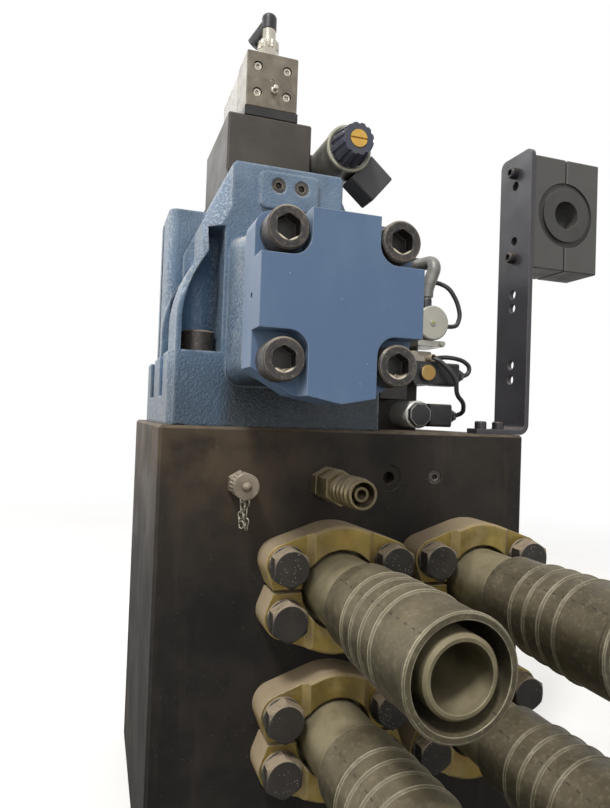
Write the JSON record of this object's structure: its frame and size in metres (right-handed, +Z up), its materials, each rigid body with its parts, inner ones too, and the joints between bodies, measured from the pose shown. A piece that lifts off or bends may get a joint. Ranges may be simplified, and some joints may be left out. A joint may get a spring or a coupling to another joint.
{
  "type": "hydraulic valve and manifold unit",
  "caption": "Steel manifold block with a cast pilot operated directional valve on top, flanged hose ends in front, small solenoid valves and a bracket with a hose clamp",
  "frame": {"origin": "middle of the manifold block's bottom face", "axes": "+X to the right along the front face with the hose ends, +Y from the front face to the rear, +Z up"},
  "size_m": [0.466, 0.625, 0.8365],
  "materials": {
    "black_paint": "satin black",
    "black_plastic": "moulded",
    "black_steel": "black oxide",
    "block_steel": "oxidised, dusty",
    "bolt_steel": "black oxide, dusty",
    "clamp_plastic": "moulded",
    "coil_grey": "zinc plated",
    "cover_paint": "smooth, painted",
    "dark_steel": "phosphated",
    "ferrule_zinc": "zinc plated, dusty",
    "lead_rubber": "matt",
    "nickel": "nickel plated",
    "pale_plastic": "moulded",
    "stainless": "machined",
    "switch_aluminium": "die cast",
    "valve_paint": "rough cast, painted",
    "yellow_plastic": "moulded",
    "yellow_zinc": "yellow zinc, dusty",
    "zinc": "zinc plated"
  },
  "bodies": {
    "root": {"bracket": "black_paint", "bracket_screws": "bolt_steel", "clamp_grommet": "lead_rubber", "conduit": "zinc", "elbow_plug": "black_plastic", "flange_bolts": "bolt_steel", "flange_clamp_1": "yellow_zinc", "flange_clamp_2": "yellow_zinc", "flange_clamp_3": "yellow_zinc", "flange_clamp_4": "yellow_zinc", "front_cover": "cover_paint", "hose_clamp": "clamp_plastic", "hose_ferrule_1": "ferrule_zinc", "hose_ferrule_2": "ferrule_zinc", "hose_ferrule_3": "ferrule_zinc", "hose_ferrule_4": "ferrule_zinc", "hose_stems": "ferrule_zinc", "leads": "lead_rubber", "lower_coil": "coil_grey", "lower_plug": "black_plastic", "manifold_block": "block_steel", "pilot_adapter": "dark_steel", "pilot_end_cover": "stainless", "pilot_plates": "black_steel", "pilot_rear_coil": "black_plastic", "pilot_valve": "dark_steel", "pressure_switch": "switch_aluminium", "rear_cover": "cover_paint", "round_connector": "nickel", "side_button": "yellow_plastic", "side_coil": "coil_grey", "side_coil_nut": "black_plastic", "side_plug": "black_plastic", "side_valve": "dark_steel", "small_hose_fitting": "ferrule_zinc", "socket_plugs": "black_steel", "socket_screws": "black_steel", "switch_foot": "zinc", "terminal_block": "pale_plastic", "test_cap": "zinc", "test_point": "zinc", "upper_coil": "black_plastic", "upper_plug": "black_plastic", "valve_body": "valve_paint", "valve_column": "dark_steel"}
  },
  "joints": []
}
